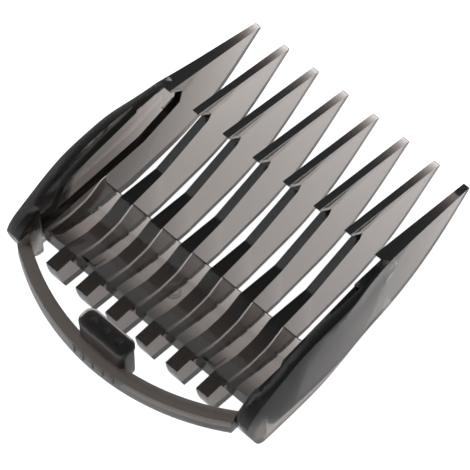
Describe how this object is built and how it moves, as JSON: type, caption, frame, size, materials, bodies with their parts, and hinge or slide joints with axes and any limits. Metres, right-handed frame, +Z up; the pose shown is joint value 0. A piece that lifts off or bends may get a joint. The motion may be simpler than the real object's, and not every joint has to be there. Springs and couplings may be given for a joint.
{
  "type": "clipper guard comb",
  "caption": "Slide-on hair clipper guard comb in smoky clear plastic: wedge-tipped teeth joined by a bridge, two side walls with guide rails, and a sprung rear bow with a latch nub.",
  "frame": {"origin": "mid-width, at the rear ends of the inner teeth, level with the seat flats on top of the teeth", "axes": "+Y towards the tooth tips and along the slide, +Z towards the clipper, +X across the comb to the right when looking along +Y with +Z up"},
  "size_m": [0.045, 0.0534, 0.015],
  "materials": {
    "smoky_plastic": "smoky clear, smooth moulded"
  },
  "bodies": {
    "comb": {"tooth_1": "smoky_plastic", "tooth_2": "smoky_plastic", "tooth_3": "smoky_plastic", "tooth_4": "smoky_plastic", "tooth_5": "smoky_plastic", "tooth_6": "smoky_plastic", "tooth_7": "smoky_plastic", "tooth_8": "smoky_plastic", "bridge_1": "smoky_plastic", "bridge_2": "smoky_plastic", "bridge_3": "smoky_plastic", "bridge_4": "smoky_plastic", "bridge_5": "smoky_plastic", "bridge_6": "smoky_plastic", "bridge_7": "smoky_plastic", "gate_mark": "smoky_plastic", "guide_rail_left": "smoky_plastic", "guide_rail_right": "smoky_plastic", "side_wall_left": "smoky_plastic", "side_wall_right": "smoky_plastic"},
    "bow": {"spring_bow": "smoky_plastic", "latch_nub": "smoky_plastic"}
  },
  "joints": [
    {"name": "bow_flex", "type": "hinge", "parent": "comb", "child": "bow", "pos_m": [0, 0.00046, -0.00125], "axis": [1, 0, 0], "range_deg": [-4, 12], "stiffness_Nm_per_rad": 0.12}
  ]
}
